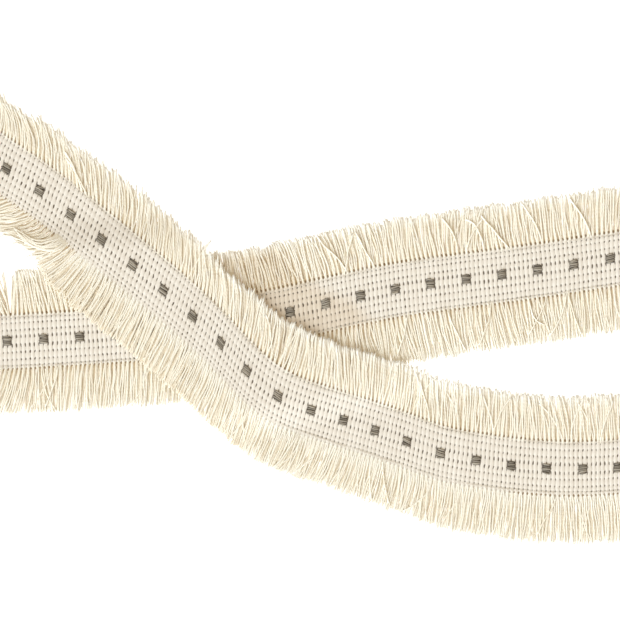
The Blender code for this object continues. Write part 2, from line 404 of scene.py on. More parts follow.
def mesh_object(name, points, quads, ngons=(), uv=None, values=None):
    """A mesh from arrays, smooth but for its end caps, with a UV for each point or corner and attributes."""
    mesh = bpy.data.meshes.new(name)
    quads = np.asarray(quads, dtype=np.int32)
    loops = [quads.reshape(-1)]
    sizes = [np.full(len(quads), 4, dtype=np.int32)]
    for block in ngons:
        block = np.asarray(block, dtype=np.int32)
        loops.append(block.reshape(-1))
        sizes.append(np.full(len(block), block.shape[1], dtype=np.int32))
    loops = np.concatenate(loops)
    sizes = np.concatenate(sizes)
    starts = np.concatenate([[0], np.cumsum(sizes)[:-1]]).astype(np.int32)
    mesh.vertices.add(len(points))
    mesh.vertices.foreach_set("co", np.asarray(points, dtype=np.float32).reshape(-1))
    mesh.loops.add(len(loops))
    mesh.loops.foreach_set("vertex_index", loops)
    mesh.polygons.add(len(sizes))
    mesh.polygons.foreach_set("loop_start", starts)
    mesh.polygons.foreach_set("loop_total", sizes)
    mesh.update(calc_edges=True)
    if uv is not None:
        layer = mesh.uv_layers.new(name="UVMap")
        uv = np.asarray(uv, dtype=np.float32)
        layer.data.foreach_set("uv", (uv if len(uv) == len(loops) else uv[loops]).reshape(-1))
    for key, value in (values or {}).items():
        layer = mesh.attributes.new(key, "FLOAT", "POINT")
        layer.data.foreach_set("value", np.asarray(value, dtype=np.float32).reshape(-1))
    mesh.polygons.foreach_set("use_smooth", np.arange(len(sizes)) < len(quads))
    mesh.validate()
    ob = bpy.data.objects.new(name, mesh)
    bpy.context.scene.collection.objects.link(ob)
    return ob


def tube_uv(paths, sides):
    """UVs for each corner of the tubes: the share of a turn around, and the millimetres along."""
    count, steps = paths.shape[:2]
    far = np.zeros((count, steps))
    far[:, 1:] = np.cumsum(np.linalg.norm(np.diff(paths, axis=1), axis=2), axis=1) / MM
    around = np.arange(sides) / sides
    shape = (count, steps - 1, sides)
    u0 = np.broadcast_to(around, shape)
    u1 = u0 + 1.0 / sides
    v0 = np.broadcast_to(far[:, :-1, None], shape)
    v1 = np.broadcast_to(far[:, 1:, None], shape)
    corners = [np.stack(p, axis=-1) for p in ((u0, v0), (u1, v0), (u1, v1), (u0, v1))]
    uv = [np.stack(corners, axis=-2).reshape(-1, 2)]
    for end in (0, -1):
        u = np.broadcast_to(around, (count, sides))
        v = np.broadcast_to(far[:, end, None], (count, sides))
        uv.append(np.stack([u, v], axis=-1).reshape(-1, 2))
    return np.concatenate(uv)


def tubes(name, paths, radius, sides, values):
    """One mesh of round yarns along many paths of equal point count, each with flat cut ends.

    paths is yarns by points by 3, radius is yarns by points, and values are yarns by points too.
    """
    count, steps = paths.shape[:2]
    along = np.gradient(paths, axis=1)
    along /= np.linalg.norm(along, axis=2, keepdims=True)
    up = np.zeros_like(along)
    up[..., 2] = 1.0
    side = np.cross(up, along)
    side /= np.linalg.norm(side, axis=2, keepdims=True)
    up = np.cross(along, side)
    turn = np.arange(sides) * FULL_TURN / sides
    ring = side[:, :, None] * np.cos(turn)[None, None, :, None]
    ring = ring + up[:, :, None] * np.sin(turn)[None, None, :, None]
    points = paths[:, :, None] + ring * radius[:, :, None, None]
    index = np.arange(count * steps * sides).reshape(count, steps, sides)
    turned = np.roll(index, -1, axis=2)
    quads = np.stack([index[:, :-1], turned[:, :-1], turned[:, 1:], index[:, 1:]], axis=-1)
    caps = [index[:, 0, ::-1], index[:, -1]]
    spread = {key: np.repeat(value[:, :, None], sides, axis=2) for key, value in values.items()}
    return mesh_object(name, points.reshape(-1, 3), quads.reshape(-1, 4), caps, tube_uv(paths, sides), spread)


# Shader nodes

COTTON_SPECULAR = 0.18
SHEEN_ROUGHNESS = 0.6


class Net:
    """Adds nodes to a material and wires them in short calls."""

    def __init__(self, name):
        self.mat = bpy.data.materials.new(name)
        self.mat.use_nodes = True
        self.tree = self.mat.node_tree
        self.shader = self.tree.nodes["Principled BSDF"]

    def node(self, kind, settings=None, **inputs):
        made = self.tree.nodes.new(kind)
        for key, value in (settings or {}).items():
            setattr(made, key, value)
        for key, value in inputs.items():
            self.put(made.inputs[key], value)
        return made

    def put(self, socket, value):
        if isinstance(value, bpy.types.NodeSocket):
            self.tree.links.new(value, socket)
        else:
            socket.default_value = value

    def math(self, operation, *values):
        made = self.node("ShaderNodeMath", {"operation": operation})
        for socket, value in zip(made.inputs, values):
            self.put(socket, value)
        return made.outputs[0]

    def plus(self, *values):
        """The sum of two or more values."""
        total = values[0]
        for value in values[1:]:
            total = self.math("ADD", total, value)
        return total

    def times(self, *values):
        """The product of two or more values."""
        total = values[0]
        for value in values[1:]:
            total = self.math("MULTIPLY", total, value)
        return total

    def smooth(self, value, low, high):
        """Rises smoothly from 0 at low to 1 at high. low may be over high."""
        made = self.node("ShaderNodeMapRange", {"interpolation_type": "SMOOTHSTEP"}, Value=value)
        made.inputs["From Min"].default_value = low
        made.inputs["From Max"].default_value = high
        return made.outputs["Result"]

    def blend(self, share, first, second):
        """The first colour, with a share of the second."""
        made = self.node("ShaderNodeMix", {"data_type": "RGBA", "clamp_factor": True})
        self.put(made.inputs[0], share)
        self.put(made.inputs[6], first)
        self.put(made.inputs[7], second)
        return made.outputs[2]

    def value(self, name):
        return self.node("ShaderNodeAttribute", {"attribute_name": name}).outputs["Fac"]

    def uv(self):
        made = self.node("ShaderNodeUVMap", {"uv_map": "UVMap"})
        parts = self.node("ShaderNodeSeparateXYZ", Vector=made.outputs[0])
        return parts.outputs["X"], parts.outputs["Y"]

    def noise(self, scale, detail, vector=None):
        if vector is None:
            vector = self.node("ShaderNodeTexCoord").outputs["Object"]
        made = self.node("ShaderNodeTexNoise", Vector=vector, Scale=scale, Detail=detail)
        return made.outputs["Fac"]

    def vector(self, x, y, z=0.0):
        return self.node("ShaderNodeCombineXYZ", X=x, Y=y, Z=z).outputs[0]

    def bump(self, height, distance, strength):
        made = self.node("ShaderNodeBump", Height=height, Distance=distance, Strength=strength)
        self.put(self.shader.inputs["Normal"], made.outputs[0])

    def finish(self, colour, roughness, sheen):
        self.put(self.shader.inputs["Base Color"], colour)
        self.put(self.shader.inputs["Roughness"], roughness)
        self.shader.inputs["Specular IOR Level"].default_value = COTTON_SPECULAR
        self.shader.inputs["Sheen Weight"].default_value = sheen
        self.shader.inputs["Sheen Roughness"].default_value = SHEEN_ROUGHNESS
        return self.mat


# Below, a noise is a scale and a detail, an edge is where something fades in, from none to full, a bump is a
# distance and a strength, and a roughness is a share of the fibres' noise and a base.
FIBRE_NOISE = (3.0, 4.0)

# Yarn: its plies in a turn, its fibres and its darker patches
PLIES = 2.0
PLY_EDGE = (0.2, -1.0)
PLY_DARK = 0.08
PLY_HEIGHT = 0.5
FIBRE_AROUND = 5.0
FIBRE_ALONG = 0.5
FIBRE_EDGE = (0.55, 0.25)
FIBRE_DARK = 0.14
FIBRE_HEIGHT = 0.7
PATCH_NOISE = (90.0, 2.0)
PATCH_EDGE = (0.5, 0.3)
PATCH_DARK = 0.10
YARN_BUMP = (0.00009, 0.6)
YARN_ROUGH = (0.2, 0.78)
# The colour of the light painted on the fringe's tips and plain roots
PAINTED_LIGHT = (0.96, 0.945, 0.89, 1.0)


def yarn_material(name, light, dark, deep_and_shade, turns_mm, sheen):
    """Twisted yarn. tone picks a colour for each yarn; attributes paint shade on sheltered parts and light on
    tips and plain roots.
    """
    net = Net(name)
    around, along = net.uv()
    tone = net.value("tone")
    twist = net.plus(net.times(around, PLIES), net.math("DIVIDE", along, turns_mm))
    ply = net.math("SINE", net.times(twist, FULL_TURN))
    place = net.vector(net.times(around, FIBRE_AROUND), net.times(along, FIBRE_ALONG), tone)
    fibre = net.noise(*FIBRE_NOISE, place)
    patch = net.noise(*PATCH_NOISE)
    colour = net.blend(tone, dark, light)
    colour = net.blend(net.times(net.smooth(ply, *PLY_EDGE), PLY_DARK), colour, deep_and_shade)
    colour = net.blend(net.times(net.smooth(fibre, *FIBRE_EDGE), FIBRE_DARK), colour, deep_and_shade)
    colour = net.blend(net.times(net.smooth(patch, *PATCH_EDGE), PATCH_DARK), colour, dark)
    # Painted shade on sheltered parts, in the deep colour
    colour = net.blend(net.value("shade"), colour, deep_and_shade)
    # Painted light on tips and plain roots
    colour = net.blend(net.value("painted_light"), colour, PAINTED_LIGHT)
    net.bump(net.plus(net.times(ply, PLY_HEIGHT), net.times(fibre, FIBRE_HEIGHT)), *YARN_BUMP)
    return net.finish(colour, net.math("MULTIPLY_ADD", fibre, *YARN_ROUGH), sheen)


# The weave's slits, which open between the ribs at the rows of warp. Their reach is in rows and their width
# in ribs. Both grow by chance, in the bold rows beside the dots and along the rims. The width grows on the
# lower band too. Their dark colour is painted shade in the holes, over the warp that shows through.
SLIT_REACH = 0.125
REACH_BOLD = 0.17
REACH_LUCK = 0.07
REACH_RIM = 0.30
SLIT_WIDE = 0.093
WIDE_BOLD = 0.015
WIDE_LUCK = 0.045
WIDE_RIM = 0.09
WIDE_LOWER = 0.015
SLIT_EDGE = (1.5, 0.7)
SLIT_SHADE = 0.75
SLIT_SHADE_LUCK = 0.25
BOLD_ROWS = 1.5
RIM_ROWS = 4.5

# Between these dots the painted shade of the slits along the right rim is faint
PLAIN_RIM = (35.5, 49.0)
PLAIN_RIM_FADE = 0.65

# The ribs wander by a share of a rib, with a thin line of painted shade in the groove between them,
# three strands in each and finer cotton
WANDER_NOISE = (2.2, 2.0)
WANDER_ROWS = 1.7
WANDER_RIBS = 0.14
GROOVE_SHADE_EDGE = (0.13, 0.02)
GROOVE_SHADE = 0.26
GROOVE_SHADE_WANDER = 0.5
STRANDS = 3.0
STRAND_EDGE = (-0.2, -1.0)
STRAND_DARK = 0.10
STRAND_HEIGHT = 0.25
RIB_TONES = 0.5
COTTON_RIBS = 6.0
COTTON_ROWS = 2.5
COTTON_EDGE = (0.6, 0.3)
COTTON_DARK = 0.35
COTTON_HEIGHT = 0.6
SLIT_HEIGHT = 1.5
WEAVE_BUMP = (0.00012, 0.7)
WEAVE_ROUGH = (0.15, 0.80)
WEAVE_SHEEN = 0.05

# The painted shade under the floats of each dot: where it fades out, in ribs along the tape and rows across
# it
BED_RIBS = (1.06, 0.86)
BED_ROWS = (1.14, 0.98)

WEAVE_LIGHT = (0.80, 0.738, 0.648, 1.0)
WEAVE_DARK = (0.73, 0.66, 0.565, 1.0)
# Grey for the strands' marks and for the painted shade in the grooves between ribs
WEAVE_GREY = (0.47, 0.40, 0.32, 1.0)
# The colour of the upper band's shadow, painted on the lower band's tape
WEAVE_SHADED = (0.50, 0.32, 0.13, 1.0)
# Painted shade in the slits' holes, over the warp that shows through them
SLIT_SHADE_AND_WARP = (0.13, 0.10, 0.068, 1.0)
# Painted shade in the slits along the rims, between the fringe's roots
RIM_SLIT_SHADE = (0.24, 0.155, 0.075, 1.0)
# Painted shade in the bed under the dots' floats
BED_SHADE = (0.07, 0.058, 0.044, 1.0)


def weave_slits(net, rib, row, moved, off_rib):
    """How far each place is in a slit, how dark that slit's painted shade is, and whether it is along a rim.
    """
    number = net.math("ROUND", row)
    off_row = net.math("ABSOLUTE", net.math("SUBTRACT", row, number))
    from_middle = net.math("ABSOLUTE", number)
    is_row = net.math("GREATER_THAN", from_middle, 0.5)
    bold = net.math("LESS_THAN", from_middle, BOLD_ROWS)
    rim = net.math("GREATER_THAN", from_middle, RIM_ROWS)
    plain_rim = net.times(
        net.math("LESS_THAN", row, -RIM_ROWS),
        net.math("GREATER_THAN", rib, PLAIN_RIM[0] * RIBS_PER_DOT),
        net.math("LESS_THAN", rib, PLAIN_RIM[1] * RIBS_PER_DOT),
    )
    lower_band = net.math("LESS_THAN", rib, LOWER_BAND[-1].dot * RIBS_PER_DOT)
    place = net.vector(net.math("ROUND", moved), number)
    luck = net.node("ShaderNodeTexWhiteNoise", {"noise_dimensions": "2D"}, Vector=place).outputs["Value"]
    reach = net.plus(net.times(bold, REACH_BOLD), SLIT_REACH, net.times(luck, REACH_LUCK))
    reach = net.plus(reach, net.times(rim, REACH_RIM))
    wide = net.plus(net.times(bold, WIDE_BOLD), SLIT_WIDE, net.times(luck, WIDE_LUCK))
    wide = net.plus(wide, net.times(rim, WIDE_RIM), net.times(lower_band, WIDE_LOWER))
    far = net.math("POWER", net.math("DIVIDE", off_row, reach), 2.0)
    near = net.math("POWER", net.math("DIVIDE", off_rib, wide), 2.0)
    slit = net.times(net.smooth(net.plus(far, near), *SLIT_EDGE), is_row)
    slit = net.times(slit, net.math("MULTIPLY_ADD", plain_rim, -PLAIN_RIM_FADE, 1.0))
    return slit, net.math("MULTIPLY_ADD", luck, SLIT_SHADE_LUCK, SLIT_SHADE), rim


def weave_material():
    """The ribbed weave. The UV map counts ribs along the tape and rows of warp across it."""
    net = Net("tape_weave_cotton")
    rib, row = net.uv()
    wander = net.noise(*WANDER_NOISE, net.vector(rib, net.times(row, WANDER_ROWS)))
    moved = net.plus(rib, net.times(net.math("SUBTRACT", wander, 0.5), WANDER_RIBS))
    off_rib = net.math("PINGPONG", moved, 0.5)
    slit, slit_shade, rim = weave_slits(net, rib, row, moved, off_rib)
    groove_shade = net.math("MULTIPLY_ADD", wander, GROOVE_SHADE_WANDER, GROOVE_SHADE)
    own_number = net.math("FLOOR", moved)
    rib_luck = net.node("ShaderNodeTexWhiteNoise", {"noise_dimensions": "1D"}, W=own_number).outputs["Value"]
    strand = net.math("SINE", net.times(moved, FULL_TURN * STRANDS))
    fibre = net.noise(*FIBRE_NOISE, net.vector(net.times(rib, COTTON_RIBS), net.times(row, COTTON_ROWS)))
    colour = net.blend(net.times(rib_luck, RIB_TONES), WEAVE_LIGHT, WEAVE_DARK)
    colour = net.blend(net.times(net.smooth(fibre, *COTTON_EDGE), COTTON_DARK), colour, WEAVE_DARK)
    colour = net.blend(net.times(net.smooth(strand, *STRAND_EDGE), STRAND_DARK), colour, WEAVE_GREY)
    # Painted shade in the grooves between ribs
    colour = net.blend(net.times(net.smooth(off_rib, *GROOVE_SHADE_EDGE), groove_shade), colour, WEAVE_GREY)
    # Painted shadow of the upper band on the lower band's tape
    colour = net.blend(net.value("shade"), colour, WEAVE_SHADED)
    off_dot = net.math("PINGPONG", rib, RIBS_PER_DOT / 2.0)
    shaded_bed = net.times(net.smooth(off_dot, *BED_RIBS), net.smooth(net.math("ABSOLUTE", row), *BED_ROWS))
    # Painted shade in the bed under the dots' floats
    colour = net.blend(shaded_bed, colour, BED_SHADE)
    slit = net.times(slit, net.math("SUBTRACT", 1.0, shaded_bed))
    # Painted shade in the slits, browner along the rims
    colour = net.blend(net.times(slit, slit_shade), colour, net.blend(rim, SLIT_SHADE_AND_WARP, RIM_SLIT_SHADE))
    height = net.plus(net.times(strand, STRAND_HEIGHT), net.times(fibre, COTTON_HEIGHT))
    net.bump(net.math("SUBTRACT", height, net.times(slit, SLIT_HEIGHT)), *WEAVE_BUMP)
    return net.finish(colour, net.math("MULTIPLY_ADD", fibre, *WEAVE_ROUGH), WEAVE_SHEEN)


# The tape: its rims, the height of its face, the relief of its ribs and slits, and its rounded edges
EDGE_RIGHT = -0.0138
EDGE_LEFT = 0.0150
TAPE_TOP = 0.00150
RIB_CREST = 0.00010
CREST_UNEVEN = 0.25
CREST_STEP = 3.7
CREST_SEED = 5
RIB_VALLEY = 0.00008
RIB_WANDER = 0.05
RIB_WANDER_STEPS = (0.37, 0.9)
RIB_WANDER_SEED = 3
SLIT_DEPTH = 0.00038
ROW_DIP = 0.00006
SLIT_ROWS = 0.20
SLIT_ROWS_BOLD = 0.40
EDGE_ROUND = 0.0016
EDGE_DROP = 0.00045

# The flat bed of each dot: half its length in dots, half its width in millimetres and how far it is sunk
BED_HALF_DOTS = 0.128
BED_HALF_MM = 2.6
BED_SUNK = 0.00012

# Each rib's points along the tape, as a share of the rib, with how far down each is from crest to valley
RIB_SAMPLES = ((0.0, 1.0), (0.14, 0.34), (0.5, 0.0), (0.86, 0.34))
CUT_LOW = 0.5

# Points across the tape in millimetres: by the middle, this far to each side of a row, and on the underside
MIDDLE_SIDES_MM = (0.0, 1.1, -0.9)
ROW_HALF_MM = {1: 1.1, 2: 0.65, 3: 0.65, 4: 0.5, 5: 0.5}
UNDERSIDE_MM = (-14.0, -9.0, -4.0, 0.0, 5.0, 10.0, 15.0)
WIDE_GAP_MM = 2.5
LEAST_GAP_MM = 0.2


def row_number(side_mm):
    return np.interp(side_mm, [r.side_mm for r in ROWS], [r.number for r in ROWS])


def tape_sides():
    """Distances across the tape at which its mesh has points, closer at the rows of warp."""
    first, last = EDGE_RIGHT / MM, EDGE_LEFT / MM
    sides = [first, last, *MIDDLE_SIDES_MM]
    rows = [r for r in ROWS if abs(r.number) in ROW_HALF_MM]
    for row in rows:
        reach = ROW_HALF_MM[abs(row.number)]
        sides += [row.side_mm - reach, row.side_mm, row.side_mm + reach]
    for a, b in zip(rows, rows[1:]):
        if b.side_mm - a.side_mm > WIDE_GAP_MM:
            sides.append((a.side_mm + b.side_mm) / 2.0)
    sides = sorted(s for s in sides if first <= s <= last)
    kept = [sides[0]]
    for s in sides[1:]:
        if s - kept[-1] > LEAST_GAP_MM:
            kept.append(s)
    kept[-1] = last
    return np.array(kept)


def tape_ribs():
    """Places along the tape at which its mesh has points, in ribs, and how far down each is."""
    first = math.ceil(FIRST_CUT * RIBS_PER_DOT)
    last = math.floor(LAST_CUT * RIBS_PER_DOT)
    places = [(FIRST_CUT * RIBS_PER_DOT, CUT_LOW)]
    places += [(n + at, low) for n in range(first, last) for at, low in RIB_SAMPLES]
    places += [(float(last), 1.0), (LAST_CUT * RIBS_PER_DOT, CUT_LOW)]
    return np.array(places).T


def tape_heights(rib, low, sides):
    """Heights of the tape's face: its ribs, slits and rounded edges, and a flat bed for each dot."""
    rows = row_number(sides)
    nearest = np.round(rows)
    reach = np.where(np.abs(nearest) == 1, SLIT_ROWS_BOLD, SLIT_ROWS)
    in_row = np.clip(1.0 - np.abs(rows - nearest) / reach, 0.0, 1.0) * (nearest != 0)
    crest = RIB_CREST * (1.0 + CREST_UNEVEN * drift(np.floor(rib) * CREST_STEP, 1.0, CREST_SEED))
    height = TAPE_TOP + crest - low * (crest + RIB_VALLEY + SLIT_DEPTH * in_row) - ROW_DIP * in_row
    off_dot = np.abs(rib / RIBS_PER_DOT - np.round(rib / RIBS_PER_DOT))
    in_bed = (off_dot < BED_HALF_DOTS) & (np.abs(sides) < BED_HALF_MM)
    height = np.where(in_bed, TAPE_TOP - BED_SUNK, height)
    from_edge = np.minimum(sides * MM - EDGE_RIGHT, EDGE_LEFT - sides * MM)
    return height - EDGE_DROP * ramp(from_edge, EDGE_ROUND, 0.0) ** 2


def build_tape():
    rib, low = tape_ribs()
    sides = tape_sides()
    rib, low = rib[:, None], low[:, None]
    shape = (len(rib), len(sides))
    places = rib * RIB_WANDER_STEPS[0] + sides * RIB_WANDER_STEPS[1]
    wander = RIB_WANDER * drift(places, 1.0, RIB_WANDER_SEED)
    dots = np.clip((rib + wander * (low > 0.0)) / RIBS_PER_DOT, FIRST_CUT, LAST_CUT)
    flat = across(dots, np.broadcast_to(sides * MM, shape))
    up = lift(flat, dots)
    top = np.concatenate([flat, (tape_heights(rib, low, sides) + up)[..., None]], axis=-1)
    under = [int(np.argmin(np.abs(sides - at))) for at in UNDERSIDE_MM]
    bottom = np.concatenate([flat[:, under], up[:, under, None]], axis=-1)
    points = np.concatenate([top.reshape(-1, 3), bottom.reshape(-1, 3)])
    top_index = np.arange(top[..., 0].size).reshape(shape)
    low_index = top_index.size + np.arange(bottom[..., 0].size).reshape(len(rib), -1)
    ring = np.concatenate([low_index[:, ::-1], top_index, low_index[:, -1:]], axis=1)
    quads = np.stack([ring[:-1, :-1], ring[1:, :-1], ring[1:, 1:], ring[:-1, 1:]], axis=-1)
    caps = (ring[:1, :-1], ring[-1:, -2::-1])
    counted = np.stack(np.broadcast_arrays(rib, row_number(sides)), axis=-1)
    uv = np.concatenate([counted.reshape(-1, 2), counted[:, under].reshape(-1, 2)])
    # The upper band's shadow, painted on the lower band's tape beside the crossing
    shade = np.zeros(len(points))
    shade[:top_index.size] = (SHADE_TAPE * crossing_shade(flat) * (dots < OVER_FROM)).reshape(-1)
    ob = mesh_object("tape_weave", points, quads.reshape(-1, 4), caps, uv, {"shade": shade})
    ob.data.materials.append(weave_material())
    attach(ob, "root")
    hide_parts("tape")
    return ob


# Threads that hold the yarns along both edges of the tape: two in each chain, half a rib apart. What drifts
# at random along them is given as dots along the tape and a size.
Chain = namedtuple("Chain", "side hand height_seed slow_seed fine_seeds tone_seeds")
CHAINS = (
    Chain(0.0130, 1.0, 20, 16, (11, 16), (31, 36)),
    Chain(-0.0115, -1.0, 21, 17, (12, 17), (32, 37)),
)
Strand = namedtuple("Strand", "phase swing")
CHAIN_STRANDS = (Strand(0.0, 0.7), Strand(0.5, 1.0))
CHAIN_POINTS = 4
CHAIN_SIDES = 4
CHAIN_FROM_CUT = 0.02
CHAIN_RADIUS = 0.00008
CHAIN_SWING = 0.00058
CHAIN_FINE = (0.06, 0.00012)
CHAIN_SLOW = (0.5, 0.00022)
CHAIN_RISE = 0.00006
CHAIN_WAVE = 0.00014
CHAIN_HEIGHTS = (0.4, 0.00011)
CHAIN_TONE = 0.65
CHAIN_TONES = (0.3, 0.3)
HIDDEN_CHAIN = (33.0, 42.3)
HIDDEN_DEPTH = 0.0004
CHAIN_LIGHT = (0.84, 0.77, 0.66, 1.0)
CHAIN_DARK = (0.62, 0.54, 0.42, 1.0)
CHAIN_DEEP = (0.20, 0.15, 0.10, 1.0)
CHAIN_TWIST_MM = 1.2
THREAD_SHEEN = 0.05


def build_edge_threads():
    count = int((LAST_CUT - FIRST_CUT) * RIBS_PER_DOT) * CHAIN_POINTS
    at = np.linspace(FIRST_CUT + CHAIN_FROM_CUT, LAST_CUT - CHAIN_FROM_CUT, count)

    def stray(spread, seed):
        return spread[1] * drift(at, spread[0], seed)

    phase = at * RIBS_PER_DOT
    wave = CHAIN_WAVE * np.cos(FULL_TURN * phase)
    paths, tones = [], []
    for chain in CHAINS:
        height = TAPE_TOP + CHAIN_RISE - wave + stray(CHAIN_HEIGHTS, chain.height_seed)
        if chain.hand < 0:
            height = height - HIDDEN_DEPTH * ((at > HIDDEN_CHAIN[0]) & (at < HIDDEN_CHAIN[1]))
        for strand, fine_seed, tone_seed in zip(CHAIN_STRANDS, chain.fine_seeds, chain.tone_seeds):
            zigzag = np.abs((phase + strand.phase) % 1.0 - 0.5) * 4.0 - 1.0
            sway = CHAIN_SWING * strand.swing * zigzag + stray(CHAIN_FINE, fine_seed)
            sway = sway + stray(CHAIN_SLOW, chain.slow_seed)
            flat = across(at, chain.side + chain.hand * sway)
            paths.append(np.column_stack([flat, height + lift(flat, at)]))
            tones.append(CHAIN_TONE + stray(CHAIN_TONES, tone_seed))
    paths = np.array(paths)
    size = paths.shape[:2]
    values = {"tone": np.clip(np.array(tones), 0.0, 1.0), "shade": np.zeros(size)}
    ob = tubes("edge_threads", paths, np.full(size, CHAIN_RADIUS), CHAIN_SIDES, values)
    thread = yarn_material(
        "edge_thread_cotton", CHAIN_LIGHT, CHAIN_DARK, CHAIN_DEEP, CHAIN_TWIST_MM, THREAD_SHEEN
    )
    ob.data.materials.append(thread)
    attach(ob, "root")
    return ob


# The woven dots: each float's half length in dots, its points and their heights, and how far the floats stray
FLOAT_HALVES = (0.086, 0.122, 0.126, 0.120, 0.090)
FLOAT_POINTS = np.array([-1.0, -0.9, -0.6, -0.2, 0.2, 0.6, 0.9, 1.0])
FLOAT_HEIGHT = np.array([-0.75, -0.25, 0.14, 0.24, 0.24, 0.14, -0.25, -0.75]) * MM
FLOAT_RADIUS = 0.00045
FLOAT_SIDES = 6
FLOAT_PITCH = 0.00096
FLOAT_RISE = 0.00018
FLOAT_SEED = 21
DOT_SLANT_STRAY = 0.00016
FLOAT_SLANT_STRAY = 0.00014
FLOAT_SIDE_STRAY = 0.00010
FLOAT_LONG_STRAY = 0.07
FLOAT_PLACE_STRAY = 0.006
FLOAT_POINT_STRAY = 0.00004
FLOAT_RISE_STRAY = 0.00006
FLOAT_THICK_STRAY = 0.06
FLOAT_TONE = 0.56
FLOAT_TONE_STRAY = 0.22
# Painted shade at the floats' ends, where they dive into the weave
FLOAT_SHADE_FROM = 0.75
FLOAT_END_SHADE = 0.6
FLOAT_LIGHT = (0.44, 0.385, 0.305, 1.0)
FLOAT_DARK = (0.15, 0.127, 0.097, 1.0)
FLOAT_DEEP_AND_SHADE = (0.035, 0.028, 0.021, 1.0)
FLOAT_TWIST_MM = 1.4


def build_dots():
    rng = np.random.default_rng(FLOAT_SEED)
    # Painted shade at each float's ends
    ends = FLOAT_END_SHADE * ramp(np.abs(FLOAT_POINTS), FLOAT_SHADE_FROM, 1.0)
    middle = (len(FLOAT_HALVES) - 1) / 2.0
    paths, tones, shades, widths = [], [], [], []
    for dot in range(math.ceil(FIRST_CUT), math.floor(LAST_CUT) + 1):
        slant = rng.normal() * DOT_SLANT_STRAY
        for k, half in enumerate(FLOAT_HALVES):
            side = (k - middle) * FLOAT_PITCH + rng.normal() * FLOAT_SIDE_STRAY
            long = FLOAT_POINTS * half * (1.0 + rng.normal() * FLOAT_LONG_STRAY)
            at = dot + long + rng.normal() * FLOAT_PLACE_STRAY
            flat = across(at, side + FLOAT_POINTS * (slant + rng.normal() * FLOAT_SLANT_STRAY))
            flat = flat + rng.normal(size=flat.shape) * FLOAT_POINT_STRAY
            height = TAPE_TOP + FLOAT_RISE + FLOAT_HEIGHT + rng.normal() * FLOAT_RISE_STRAY
            paths.append(np.column_stack([flat, height + lift(flat, at)]))
            tones.append(np.full(len(at), np.clip(FLOAT_TONE + rng.normal() * FLOAT_TONE_STRAY, 0.0, 1.0)))
            shades.append(ends)
            widths.append(np.full(len(at), FLOAT_RADIUS * (1.0 + rng.normal() * FLOAT_THICK_STRAY)))
    values = {"tone": np.array(tones), "shade": np.array(shades)}
    ob = tubes("woven_dots", np.array(paths), np.array(widths), FLOAT_SIDES, values)
    grey = yarn_material("dot_yarn_grey", FLOAT_LIGHT, FLOAT_DARK, FLOAT_DEEP_AND_SHADE, FLOAT_TWIST_MM, THREAD_SHEEN)
    ob.data.materials.append(grey)
    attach(ob, "root")
    return ob


# The fringe. Its yarns have rings at these shares of their length, and start a little inside the tape.
YARN_RINGS = np.array([0.0, 0.06, 0.15, 0.28, 0.43, 0.59, 0.76, 0.93, 1.0])
YARN_SIDES = 5
YARN_START = 0.0009
ROOT_INSIDE = 0.0002

# Each rib's bundle of yarns: how far each lies from its middle at the root and once it has fanned out,
# how far out that is, its height there, its radius, its painted shade and how far it follows the lie of the
# fringe
Yarn = namedtuple("Yarn", "root_mm out_mm fan_mm height_mm radius_mm shade follow")
BUNDLE = (
    Yarn(-0.70, -0.78, 2.0, 0.44, 0.43, 0.62, 0.0),
    Yarn(0.0, 0.0, 2.0, 0.44, 0.43, 0.62, 0.0),
    Yarn(0.70, 0.78, 2.0, 0.44, 0.43, 0.62, 0.0),
    Yarn(-0.38, -0.80, 6.0, 0.95, 0.42, 0.34, 0.7),
    Yarn(0.02, 0.05, 6.0, 0.95, 0.42, 0.34, 0.7),
    Yarn(0.38, 0.80, 6.0, 0.95, 0.42, 0.34, 0.7),
    Yarn(-0.19, -0.56, 10.0, 1.45, 0.47, 0.0, 1.0),
    Yarn(0.19, 0.57, 10.0, 1.45, 0.47, 0.0, 1.0),
)
LOOSE_YARN = BUNDLE[-1]._replace(root_mm=0.0, out_mm=0.0, fan_mm=1.0)

Edge = namedtuple("Edge", "word hand side lies loose drift_seed")
EDGES = (
    Edge("left", 1, TAPE_LEFT, LEFT_LIES, LEFT_LOOSE, 31),
    Edge("right", -1, -TAPE_RIGHT, RIGHT_LIES, RIGHT_LOOSE, 47),
)

# Each edge's pieces: where they start and end, the solids that they replace and the seed of each edge's piece
Section = namedtuple("Section", "letter first last nodes seeds")
SECTIONS = (
    Section("a", FIRST_CUT, 17.0, range(1, 4), {"left": 103, "right": 89}),
    Section("b", 17.0, 33.0, range(4, 9), {"left": 158, "right": 144}),
    Section("c", 33.0, LAST_CUT, range(9, 13), {"left": 206, "right": 192}),
)

# Where the right edge's fringe is curly, where its roots are open, and where it lies on the lower band
CURLY = (32.6, 35.4)
PLAIN_ROOTS = (35.5, 53.0)
PLAIN_FAN = 0.3
OVER_BAND = (35.2, 41.5)
LOW_SHORTER_MM = 1.4

